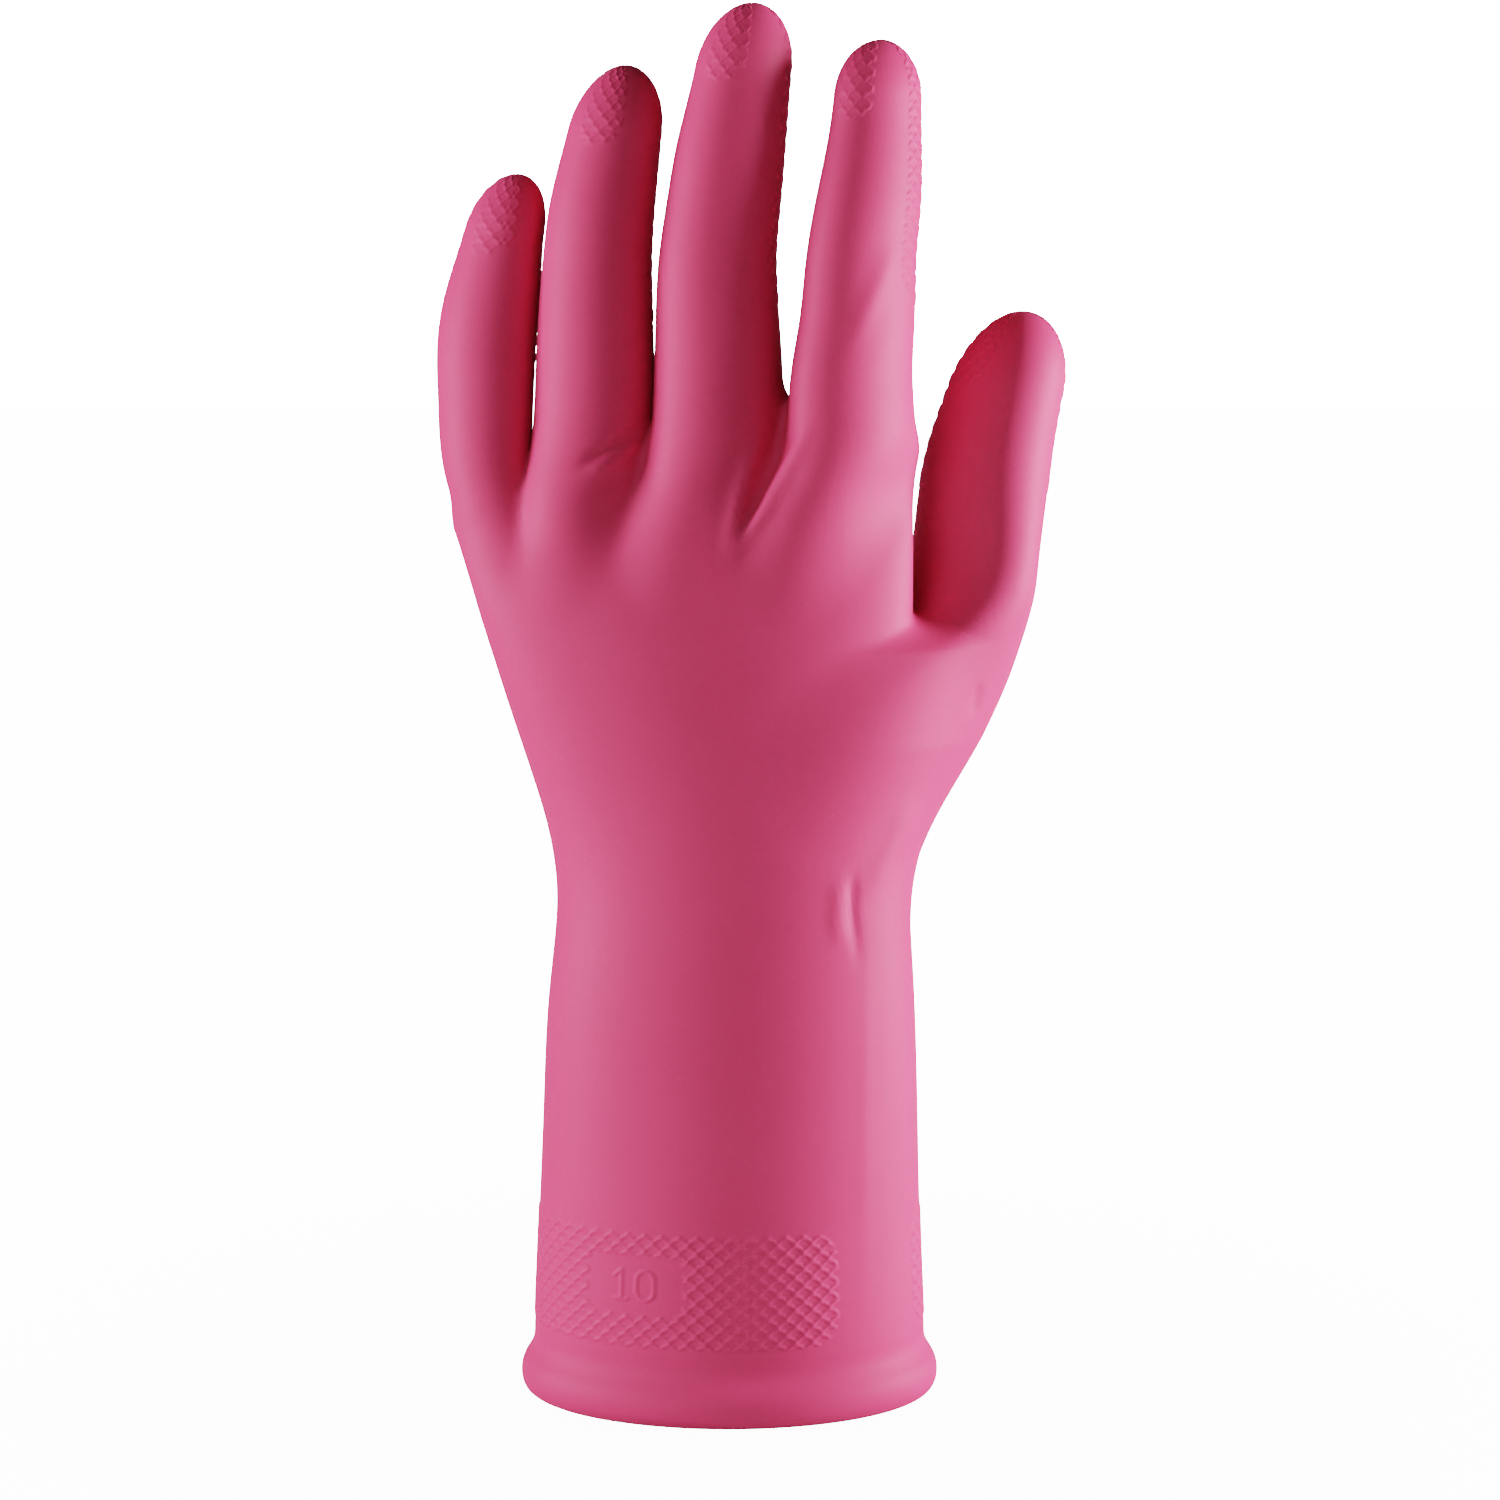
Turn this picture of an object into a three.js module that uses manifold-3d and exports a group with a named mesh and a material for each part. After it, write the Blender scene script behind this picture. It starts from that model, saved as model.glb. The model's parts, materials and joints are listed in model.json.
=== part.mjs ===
// A household rubber glove for the left hand, standing on its rolled cuff with its fingers up.
// Units are millimetres. +Z is up, +X is the thumb's side and +Y is the palm's side.
// The glove is one dipped skin with a bonded lining. Both are made here as zones: stiff zones that
// keep their shape, and narrow creases between them that fold when the glove bends.
import * as THREE from "three";
import { mergeVertices } from "three/addons/utils/BufferGeometryUtils.js";
import Module from "manifold-3d";

// Walls and clearances.
const SHELL_WALL = 0.6;
const LINING_WALL = 0.4;
const GAP = 0.3; // left between neighbouring pieces
const FOLD_MARGIN = 0.6; // room beyond what a crease needs to fold
const OVERRUN = 2; // how far a cutting solid runs past the end that it opens
const WRIST_OVERRUN = 15; // the same at the wrist, where the thumb's buried start is cut away too

// Heights along the glove.
const CUFF_LENGTH = 105; // floor to the wrist's bending line
const PALM_LENGTH = 85; // wrist line to knuckle line
const BLOCK_LENGTH = 23; // knuckle line to the webs, at the middle of the hand
const ROOT_RISE = 11; // web to a finger's root line
const ROOT_DEPTH = 8; // how far a finger's tube starts below its web

// Widths and depths of the hand's sections.
const CUFF_X = -4.8;
const CUFF_HALF_WIDTH = 43.4;
const CUFF_HALF_DEPTH = 30;
const WRIST_X = -3.7;
const WRIST_HALF_WIDTH = 39;
const WRIST_HALF_DEPTH = 25;
const PALM_HALF_DEPTH = 20;
const KNUCKLE_HALF_DEPTH = 17.3;
const WEB_HALF_DEPTH = 14.5;
const THUMB_SIDE_X = 35.8; // the palm's edge on the thumb's side
const INDEX_INSET = 1.6; // palm's edge to the side of the index finger
const LITTLE_OUTSET = 1.7; // how far the little finger stands out past the palm's edge
const WEB_SLOPE = 0.17; // rise of the webs towards the thumb's side
const CROWN_HEIGHT = 3.5; // rounding of the hand's top between the fingers
const ROUND = 2; // section power of a true ellipse
const SQUARISH = 2.6; // section power of the flat palm

// The rolled bead at the mouth of the cuff.
const BEAD_HEIGHT = 10.4;
const BEAD_PROUD = 3;
const BEAD_INNER = 2.4;

// How far each line bends, in degrees: towards the palm, then backwards.
const WRIST_RANGE = [40, 40];
const KNUCKLE_RANGE = [45, 10];
const FINGER_ROOT_RANGE = [30, 10];
const FINGER_MIDDLE_RANGE = [80, 0];
const FINGER_TIP_RANGE = [48, 0];
const THUMB_ROOT_RANGE = [40, 15];
const THUMB_TIP_RANGE = [50, 0];
const AXIS_SHIFT = 0.4; // a bending axis lies this share of the radius towards the palm

// Fingers, from the thumb's side. radius: at the web, half way and at the tip. lean: how far the
// centre line has moved towards the thumb half way and at the tip. palmar: how far it lies towards
// the palm at those three places. phalanges: lengths between the bending lines, then to the tip.
const FINGERS = [
  { name: "index", gap: 0, radius: [12.6, 11.7, 9.4], lean: [2.6, 6.8], palmar: [2, 3.5, 10],
    phalanges: [21, 22.5, 22] },
  { name: "middle", gap: 3, radius: [13.2, 12.4, 10.2], lean: [0.3, 7], palmar: [0.5, 2, 9],
    phalanges: [26, 27, 25.2] },
  { name: "ring", gap: 2.4, radius: [12.1, 11.5, 9.4], lean: [1.4, 7.5], palmar: [2, 3.5, 11],
    phalanges: [22.5, 24, 23.2] },
  { name: "little", gap: 1.3, radius: [9.6, 9.9, 8.5], lean: [0.1, 6.1], palmar: [6, 8, 14],
    phalanges: [17, 18.5, 14.5] },
];
const FINGER_DEPTH = 0.95; // a finger's depth as a share of its width
const ROOT_TAPER = 0.5; // a tube's radius and place at its buried start, as a share of those at the web
const DOME = 1.35; // length of a rounded tip, in tip radii

// The thumb's centre line over the ball of the thumb: out from the palm's edge, towards the palm,
// share of the palm's length above the wrist, and radius.
const THUMB_BALL_PATH = [
  [-19.8, 6, 0.13, 11],
  [-11.8, 9, 0.27, 15],
  [-4.3, 11, 0.42, 16.5],
  [4.7, 13, 0.62, 15.8],
  [11, 15.5, 0.8, 14.7],
];
// The rest of it, with its third value the rise above the top of the ball.
const THUMB_PATH = [
  [15.2, 17, 24, 14.2],
  [20.5, 18.5, 50.6, 12],
  [23.7, 20, 65.3, 12],
];
const THUMB_PHALANGES = [26, 31];

// Facets round each section.
const HAND_SIDES = 28;
const LIMB_SIDES = 12;

const wasm = await Module();
wasm.setup();

const WRIST_Z = CUFF_LENGTH;
const KNUCKLE_Z = WRIST_Z + PALM_LENGTH;
const WEB_Z = KNUCKLE_Z + BLOCK_LENGTH;

// ---- Meshes made of rings ----

// Collects rings of points and the faces between them into one closed mesh.
class RingMesh {
  constructor() {
    this.positions = [];
    this.faces = [];
  }

  add(points) {
    const start = this.positions.length / 3;
    points.forEach((p) => this.positions.push(p.x, p.y, p.z));
    return { start, count: points.length };
  }

  // Faces between two rings; they point out when upper lies above lower on an outside surface.
  bridge(lower, upper, flipped = false) {
    for (let i = 0; i < lower.count; i++) {
      const j = (i + 1) % lower.count;
      const [a, b] = [lower.start + i, lower.start + j];
      const [c, d] = [upper.start + j, upper.start + i];
      this.faces.push(...(flipped ? [a, c, b, a, d, c] : [a, b, c, a, c, d]));
    }
  }

  // A fan from a ring to one point; it faces up unless it is flipped.
  close(ring, point, flipped = false) {
    const tip = this.add([point]).start;
    for (let i = 0; i < ring.count; i++) {
      const a = ring.start + i;
      const b = ring.start + ((i + 1) % ring.count);
      this.faces.push(...(flipped ? [b, a, tip] : [a, b, tip]));
    }
  }

  geometry() {
    const made = new THREE.BufferGeometry();
    made.setAttribute("position", new THREE.Float32BufferAttribute(this.positions, 3));
    made.setIndex(this.faces);
    return made;
  }
}

const middleOf = (points) =>
  points.reduce((sum, p) => sum.add(p), new THREE.Vector3()).divideScalar(points.length);

// A solid through the rings, closed by flat ends, or by a pole when one is given.
function solidLoft(rings, pole) {
  const mesh = new RingMesh();
  const added = rings.map((points) => mesh.add(points));
  added.slice(1).forEach((ring, i) => mesh.bridge(added[i], ring));
  mesh.close(added[0], middleOf(rings[0]), true);
  mesh.close(added.at(-1), pole ?? middleOf(rings.at(-1)));
  return mesh.geometry();
}

// A wall between outer and inner rings, open at both ends, or closed at the top by two poles.
function wallLoft(outer, inner, outerPole, innerPole) {
  const mesh = new RingMesh();
  const outside = outer.map((points) => mesh.add(points));
  const inside = inner.map((points) => mesh.add(points));
  outside.slice(1).forEach((ring, i) => mesh.bridge(outside[i], ring));
  inside.slice(1).forEach((ring, i) => mesh.bridge(inside[i], ring, true));
  mesh.bridge(outside[0], inside[0], true);
  if (outerPole) {
    mesh.close(outside.at(-1), outerPole);
    mesh.close(inside.at(-1), innerPole, true);
  } else {
    mesh.bridge(outside.at(-1), inside.at(-1));
  }
  return mesh.geometry();
}

// ---- Joining and cutting ----

function toSolid(geometry) {
  const plain = new THREE.BufferGeometry();
  plain.setAttribute("position", geometry.getAttribute("position"));
  plain.setIndex(geometry.index);
  const merged = mergeVertices(plain, 1e-4);
  return new wasm.Manifold(
    new wasm.Mesh({
      numProp: 3,
      vertProperties: merged.attributes.position.array,
      triVerts: new Uint32Array(merged.index.array),
    }),
  );
}

function toGeometry(solid) {
  const mesh = solid.getMesh();
  const made = new THREE.BufferGeometry();
  made.setAttribute("position", new THREE.BufferAttribute(mesh.vertProperties, mesh.numProp));
  made.setIndex(new THREE.BufferAttribute(mesh.triVerts, 1));
  return made;
}

const joined = (geometries) => geometries.map(toSolid).reduce((a, b) => a.add(b));

// ---- The hand's own tube, from cuff to webs ----

const FINGER_X = [];
FINGERS.forEach((finger, i) => {
  const before = FINGERS[i - 1];
  const side = before ? FINGER_X[i - 1] - before.radius[0] : THUMB_SIDE_X - INDEX_INSET;
  FINGER_X.push(side - finger.gap - finger.radius[0]);
});
const LITTLE_SIDE_X = FINGER_X.at(-1) - FINGERS.at(-1).radius[0] + LITTLE_OUTSET;
const WRIST_LITTLE_SIDE_X = WRIST_X - WRIST_HALF_WIDTH;

// A palm section: share of the palm's length above the wrist, and share of its flare reached there.
const palmSection = (share, flare, depth) => ({
  z: WRIST_Z + share * PALM_LENGTH,
  left: THREE.MathUtils.lerp(WRIST_LITTLE_SIDE_X, LITTLE_SIDE_X, flare),
  right: THUMB_SIDE_X,
  depth,
  power: SQUARISH,
});

const HAND_SECTIONS = [
  { z: 0, left: CUFF_X - CUFF_HALF_WIDTH, right: CUFF_X + CUFF_HALF_WIDTH,
    depth: CUFF_HALF_DEPTH, power: ROUND },
  { z: WRIST_Z, left: WRIST_LITTLE_SIDE_X, right: WRIST_X + WRIST_HALF_WIDTH,
    depth: WRIST_HALF_DEPTH, power: ROUND },
  palmSection(0.25, 0.07, (WRIST_HALF_DEPTH + PALM_HALF_DEPTH) / 2),
  palmSection(0.5, 0.34, PALM_HALF_DEPTH),
  palmSection(0.75, 0.64, (PALM_HALF_DEPTH + KNUCKLE_HALF_DEPTH) / 2),
  palmSection(1, 0.88, KNUCKLE_HALF_DEPTH),
  { z: WEB_Z, left: LITTLE_SIDE_X, right: THUMB_SIDE_X, depth: WEB_HALF_DEPTH, power: SQUARISH },
];

function handSection(z) {
  const above = HAND_SECTIONS.findIndex((s) => s.z >= z);
  const high = HAND_SECTIONS[above < 0 ? HAND_SECTIONS.length - 1 : Math.max(above, 1)];
  const low = HAND_SECTIONS[HAND_SECTIONS.indexOf(high) - 1];
  const t = (z - low.z) / (high.z - low.z);
  const mix = (key) => THREE.MathUtils.lerp(low[key], high[key], t);
  return { z, left: mix("left"), right: mix("right"), depth: mix("depth"), power: mix("power") };
}

// How much of the webs' slope a section at height z has.
const tiltAt = (z) => {
  const start = KNUCKLE_Z + knuckleFold + GAP;
  return WEB_SLOPE * THREE.MathUtils.clamp((z - start) / (WEB_Z - start), 0, 1);
};

// One ring of the hand, a rounded section set in by inset, with an optional squash and rise.
function sectionRing(section, inset, rise = 0, narrow = 0, thin = 1) {
  const centre = (section.left + section.right) / 2;
  const halfWidth = (section.right - section.left) / 2 - inset - narrow;
  const halfDepth = (section.depth - inset) * thin;
  const tilt = tiltAt(section.z);
  const round = (value) => Math.sign(value) * Math.abs(value) ** (2 / section.power);
  return Array.from({ length: HAND_SIDES }, (_, i) => {
    const angle = (2 * Math.PI * i) / HAND_SIDES;
    const across = halfWidth * round(Math.cos(angle));
    const z = section.z + rise + tilt * across;
    return new THREE.Vector3(centre + across, halfDepth * round(Math.sin(angle)), z);
  });
}

// The hand's rings between two heights, run on below and above them where the solid has to cut.
function handRings(from, to, inset, below = 0, above = 0) {
  const between = HAND_SECTIONS.map((s) => s.z).filter((z) => z > from && z < to);
  const heights = [from, ...between, to];
  if (below) heights.unshift(from - below);
  if (above) heights.push(to + above);
  return heights.map((z) => sectionRing(handSection(z), inset));
}

const handWall = (from, to, outer, inner) =>
  wallLoft(handRings(from, to, outer), handRings(from, to, inner));

// The finger block's solid, from height z up to its rounded crown.
function blockSolid(z, inset, below = 0) {
  const web = handSection(WEB_Z);
  const crown = sectionRing(web, inset, CROWN_HEIGHT - inset, CROWN_HEIGHT, 0.6);
  const start = handRings(z, WEB_Z, inset, below).slice(0, -1);
  return solidLoft([...start, sectionRing(web, inset, -inset), crown]);
}

// ---- Fingers and thumb ----

// A limb is a tapering tube along a smooth line. bendAxis is level, and a turn about it by the
// right-hand rule folds the limb towards the palm. Every ring's plane holds that axis.
class Limb {
  constructor(name, points, radii, bendAxis, phalanges) {
    this.name = name;
    this.bendAxis = bendAxis;
    this.curve = new THREE.CatmullRomCurve3(points, false, "centripetal");
    this.radii = new THREE.CatmullRomCurve3(radii.map((r) => new THREE.Vector3(r, 0, 0)));
    this.length = this.curve.getLength();
    this.dome = DOME * radii.at(-1);
    this.phalanges = phalanges;
  }

  // The arc length of bending line number i, counted from the tip backwards.
  lineAt(i) {
    return this.length - this.phalanges.slice(i).reduce((sum, part) => sum + part, 0);
  }

  radiusAt(s) {
    const t = this.curve.getUtoTmapping(THREE.MathUtils.clamp(s / this.length, 0, 1));
    return this.radii.getPoint(t).x;
  }

  // Centre, section directions and radius at arc length s.
  frameAt(s) {
    const t = this.curve.getUtoTmapping(THREE.MathUtils.clamp(s / this.length, 0, 1));
    const up = this.curve.getTangent(t);
    up.addScaledVector(this.bendAxis, -up.dot(this.bendAxis)).normalize();
    const palmar = new THREE.Vector3().crossVectors(this.bendAxis, up);
    return { centre: this.curve.getPoint(t), palmar, up, radius: this.radiusAt(s) };
  }

  ring(s, inset, roundness = 1) {
    const { centre, palmar, radius } = this.frameAt(s);
    const across = (radius - inset) * roundness;
    const deep = (radius * FINGER_DEPTH - inset) * roundness;
    return Array.from({ length: LIMB_SIDES }, (_, i) => {
      const angle = (2 * Math.PI * (i + 0.5)) / LIMB_SIDES;
      return centre
        .clone()
        .addScaledVector(this.bendAxis, -across * Math.cos(angle))
        .addScaledVector(palmar, deep * Math.sin(angle));
    });
  }

  rings(from, to, inset, count = 2) {
    return Array.from({ length: count }, (_, i) =>
      this.ring(from + ((to - from) * i) / (count - 1), inset),
    );
  }

  // A solid stub from the buried start to arc length s, run on by overrun when it has to cut.
  stub(s, inset, count, overrun = 0) {
    const past = overrun ? [this.ring(s + overrun, inset)] : [];
    return solidLoft([...this.rings(0, s, inset, count), ...past]);
  }

  wall(from, to, outer, inner, count = 2) {
    return wallLoft(this.rings(from, to, outer, count), this.rings(from, to, inner, count));
  }

  // The tip's rings: a straight stretch, then a dome that ends at a pole.
  tipRings(from, inset) {
    const start = this.length - this.dome;
    const height = this.dome - inset;
    const places = [0, 0.45, 0.75, 0.93].map((u) => start + u * height);
    return [from, ...places.filter((s) => s > from + FOLD_MARGIN)].map((s) => {
      const u = Math.max(0, (s - start) / height);
      return this.ring(s, inset, Math.sqrt(1 - u * u));
    });
  }

  tipWall(from, outer, inner) {
    const pole = (inset) => this.frameAt(this.length - inset).centre;
    return wallLoft(
      this.tipRings(from, outer), this.tipRings(from, inner), pole(outer), pole(inner),
    );
  }
}

const FINGER_BEND_AXIS = new THREE.Vector3(-1, 0, 0);
const THUMB_BEND_AXIS = new THREE.Vector3(-0.8, -0.6, 0);

function makeFinger(finger, i) {
  const handCentre = (LITTLE_SIDE_X + THUMB_SIDE_X) / 2;
  const x = FINGER_X[i];
  const web = WEB_Z + WEB_SLOPE * (x - handCentre);
  const top = web + ROOT_RISE + finger.phalanges.reduce((sum, part) => sum + part, 0);
  const [rootY, middleY, tipY] = finger.palmar;
  const [root, middle, tip] = finger.radius;
  const points = [
    new THREE.Vector3(x, ROOT_TAPER * rootY, web - ROOT_DEPTH),
    new THREE.Vector3(x, rootY, web),
    new THREE.Vector3(x + finger.lean[0], middleY, (web + top) / 2),
    new THREE.Vector3(x + finger.lean[1], tipY, top),
  ];
  const radii = [root * ROOT_TAPER, root, middle, tip];
  return new Limb(finger.name, points, radii, FINGER_BEND_AXIS, finger.phalanges);
}

function makeThumb() {
  const onPalm = (share) => WRIST_Z + share * PALM_LENGTH;
  const ballTop = onPalm(THUMB_BALL_PATH.at(-1)[2]);
  const path = [
    ...THUMB_BALL_PATH.map(([out, palmar, share, radius]) => [out, palmar, onPalm(share), radius]),
    ...THUMB_PATH.map(([out, palmar, rise, radius]) => [out, palmar, ballTop + rise, radius]),
  ];
  const points = path.map(([out, palmar, z]) => new THREE.Vector3(THUMB_SIDE_X + out, palmar, z));
  const radii = path.map((row) => row[3]);
  return new Limb("thumb", points, radii, THUMB_BEND_AXIS, THUMB_PHALANGES);
}

// Half the height of a crease: what the palm's side needs to fold by the first angle of the range
// and the back by the second, about an axis shifted towards the palm.
function foldRoom(depth, shift, [forward, backward]) {
  const half = (degrees) => Math.tan(THREE.MathUtils.degToRad(degrees) / 2);
  const palmSide = depth * (1 - shift) * half(forward);
  const backSide = depth * (1 + shift) * half(backward);
  return Math.max(palmSide, backSide) + FOLD_MARGIN;
}

const wristFold = foldRoom(WRIST_HALF_DEPTH, 0, WRIST_RANGE);
const knuckleFold = foldRoom(KNUCKLE_HALF_DEPTH, AXIS_SHIFT, KNUCKLE_RANGE);
const limbFold = (limb, line, range) =>
  foldRoom(limb.radiusAt(limb.lineAt(line)), AXIS_SHIFT, range);

const limbs = FINGERS.map(makeFinger);
const thumb = makeThumb();

// ---- The glove's pieces ----

const RUBBER = { color: 0xd65a8c, roughness: 0.55, metalness: 0 };
const CREASE_RUBBER = { color: 0xcb4f80, roughness: 0.6, metalness: 0 };
const FLOCK = { color: 0xf0d6dc, roughness: 0.95, metalness: 0 };

const glove = new THREE.Group();

function addPiece(name, geometry, finish) {
  const mesh = new THREE.Mesh(geometry, new THREE.MeshStandardMaterial(finish));
  mesh.name = name;
  glove.add(mesh);
}

const LINING_OUTER = SHELL_WALL + GAP;
const LINING_INNER = LINING_OUTER + LINING_WALL;

// The rolled edge of the cuff: a bulge outside, a flat foot and a smaller roll inside.
function beadGeometry() {
  const profile = [
    [0.5 * BEAD_PROUD, 0],
    [0.87 * BEAD_PROUD, 0.1 * BEAD_HEIGHT],
    [BEAD_PROUD, 0.3 * BEAD_HEIGHT],
    [0.9 * BEAD_PROUD, 0.52 * BEAD_HEIGHT],
    [0.5 * BEAD_PROUD, 0.76 * BEAD_HEIGHT],
    [0, BEAD_HEIGHT],
    [-SHELL_WALL, BEAD_HEIGHT],
    [-0.6 * BEAD_INNER, 0.6 * BEAD_HEIGHT],
    [-BEAD_INNER, 0.35 * BEAD_HEIGHT],
    [-0.9 * BEAD_INNER, 0.12 * BEAD_HEIGHT],
    [-0.5 * BEAD_INNER, 0],
  ];
  const mouth = handSection(0);
  const mesh = new RingMesh();
  const rings = profile.map(([out, up]) => mesh.add(sectionRing(mouth, -out, up)));
  rings.forEach((ring, i) => mesh.bridge(ring, rings[(i + 1) % rings.length]));
  return mesh.geometry();
}

function addCuff() {
  const shellFrom = BEAD_HEIGHT + GAP;
  const to = WRIST_Z - wristFold - GAP;
  addPiece("cuff_bead", beadGeometry(), RUBBER);
  addPiece("gauntlet_shell", handWall(shellFrom, to, 0, SHELL_WALL), RUBBER);
  addPiece("gauntlet_lining", handWall(shellFrom, to, LINING_OUTER, LINING_INNER), FLOCK);
}

function addCrease(name, line, fold) {
  addPiece(name, handWall(line - fold, line + fold, 0, SHELL_WALL), CREASE_RUBBER);
}

// The palm's wall between two insets, open at wrist, knuckles and thumb.
function palmWall(outer, inner) {
  const from = WRIST_Z + wristFold + GAP;
  const to = KNUCKLE_Z - knuckleFold - GAP;
  const thumbEnd = thumb.lineAt(0) - limbFold(thumb, 0, THUMB_ROOT_RANGE) - GAP;
  const body = joined([solidLoft(handRings(from, to, outer)), thumb.stub(thumbEnd, outer, 6)]);
  const hollow = joined([
    solidLoft(handRings(from, to, inner, WRIST_OVERRUN, OVERRUN)),
    thumb.stub(thumbEnd, inner, 6, OVERRUN),
  ]);
  return toGeometry(body.subtract(hollow));
}

// The finger block's wall between two insets, open at the knuckles and at the four fingers.
function webWall(outer, inner) {
  const from = KNUCKLE_Z + knuckleFold + GAP;
  const ends = limbs.map((f) => f.lineAt(0) - limbFold(f, 0, FINGER_ROOT_RANGE) - GAP);
  const body = joined([
    blockSolid(from, outer),
    ...limbs.map((f, i) => f.stub(ends[i], outer, 4)),
  ]);
  const hollow = joined([
    blockSolid(from, inner, OVERRUN),
    ...limbs.map((f, i) => f.stub(ends[i], inner, 4, OVERRUN)),
  ]);
  return toGeometry(body.subtract(hollow));
}

// One limb's creases and segments. ranges gives each bending line's range, root first.
function addLimb(limb, lineNames, partNames, ranges) {
  const folds = ranges.map((range, i) => limbFold(limb, i, range));
  lineNames.forEach((line, i) => {
    const at = limb.lineAt(i);
    const crease = limb.wall(at - folds[i], at + folds[i], 0, SHELL_WALL);
    addPiece(`${limb.name}_${line}_crease`, crease, CREASE_RUBBER);
    const from = at + folds[i] + GAP;
    const part = `${limb.name}_${partNames[i]}`;
    if (i === lineNames.length - 1) {
      addPiece(`${part}_shell`, limb.tipWall(from, 0, SHELL_WALL), RUBBER);
      addPiece(`${part}_lining`, limb.tipWall(from, LINING_OUTER, LINING_INNER), FLOCK);
      return;
    }
    const to = limb.lineAt(i + 1) - folds[i + 1] - GAP;
    addPiece(`${part}_shell`, limb.wall(from, to, 0, SHELL_WALL), RUBBER);
    addPiece(`${part}_lining`, limb.wall(from, to, LINING_OUTER, LINING_INNER), FLOCK);
  });
}

addCuff();
addCrease("wrist_crease", WRIST_Z, wristFold);
addPiece("palm_shell", palmWall(0, SHELL_WALL), RUBBER);
addPiece("palm_lining", palmWall(LINING_OUTER, LINING_INNER), FLOCK);
addCrease("knuckle_crease", KNUCKLE_Z, knuckleFold);
addPiece("web_shell", webWall(0, SHELL_WALL), RUBBER);
addPiece("web_lining", webWall(LINING_OUTER, LINING_INNER), FLOCK);

const FINGER_RANGES = [FINGER_ROOT_RANGE, FINGER_MIDDLE_RANGE, FINGER_TIP_RANGE];
limbs.forEach((limb) => {
  addLimb(limb, ["root", "middle", "tip"], ["lower", "middle", "tip"], FINGER_RANGES);
});
addLimb(thumb, ["root", "tip"], ["lower", "tip"], [THUMB_ROOT_RANGE, THUMB_TIP_RANGE]);

export default glove;
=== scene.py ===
import json
import math

import bpy
import numpy as np
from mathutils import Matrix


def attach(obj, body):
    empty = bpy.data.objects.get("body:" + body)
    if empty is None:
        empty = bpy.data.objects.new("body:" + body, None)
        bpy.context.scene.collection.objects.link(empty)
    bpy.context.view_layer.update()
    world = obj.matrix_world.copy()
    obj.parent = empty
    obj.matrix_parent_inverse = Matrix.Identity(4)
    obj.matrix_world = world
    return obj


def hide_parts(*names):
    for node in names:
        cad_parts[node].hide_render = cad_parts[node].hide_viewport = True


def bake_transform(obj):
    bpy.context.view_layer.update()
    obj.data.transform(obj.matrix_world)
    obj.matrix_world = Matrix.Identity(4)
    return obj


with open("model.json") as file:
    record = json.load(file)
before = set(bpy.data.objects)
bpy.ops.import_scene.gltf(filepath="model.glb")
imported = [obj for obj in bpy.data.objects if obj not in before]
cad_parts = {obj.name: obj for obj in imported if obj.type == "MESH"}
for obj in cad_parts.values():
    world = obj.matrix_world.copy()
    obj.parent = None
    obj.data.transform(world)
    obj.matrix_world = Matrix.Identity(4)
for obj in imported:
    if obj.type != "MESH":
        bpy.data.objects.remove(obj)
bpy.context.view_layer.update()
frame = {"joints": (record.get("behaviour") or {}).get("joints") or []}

# Everything below is worked out in millimetres and turned into metres as a mesh is made.
MM = 0.001
JOINT = {j["name"]: np.array(j["pos_m"], float) / MM for j in frame["joints"]}

# Sizes of the glove's parts and of the steps their skins are divided into, in mm.
CUFF_TOP = 83.0
BEAD_TOP = 15.0
THUMB_SEAM = 177.0
PALM_SEAM = 178.0
SKIN_STEP = 0.8
ROW_STEP = 0.75
GRIP_STEP = 0.36
LINING_STEP = 2.6
PALM_LINING_STEP = 1.5
CUFF_STEP = 1.4
WALL = 0.9
SEAM_GAP = 0.5

# The fish-scale grip: width and rise of a scale, and the width and height of its raised edge.
SCALE_WIDTH, SCALE_RISE = 3.9, 1.8
EDGE_WIDTH, EDGE_HEIGHT = 0.34, 0.24
GRIP_FOOT = {"index": 238, "middle": 238, "ring": 233, "little": 222, "thumb": 196}
GRIP_ON_PALM = (101.0, 203.0)

# The cuff's grip band: its closer rows, its foot and head, the plain patch where it stops,
# as lengths round from the middle of the back, and the panel that holds the size number.
GRIP_BAND = (15.8, 45.0)
BAND_FOOT, BAND_HEAD = 17.1, 42.3
PLAIN_START, PLAIN_END = 19.6, 42.0
PANEL_AT, PANEL_HALF = (-25.6, 30.8), (11.2, 6.4)
NUMBER_HEIGHT = 0.2
CUFF_GIRTH = 232.0
LINING_COLUMNS, LINING_FOOT = 96, 6.0


# ---------------------------------------------------------------- curves and forms

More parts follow.
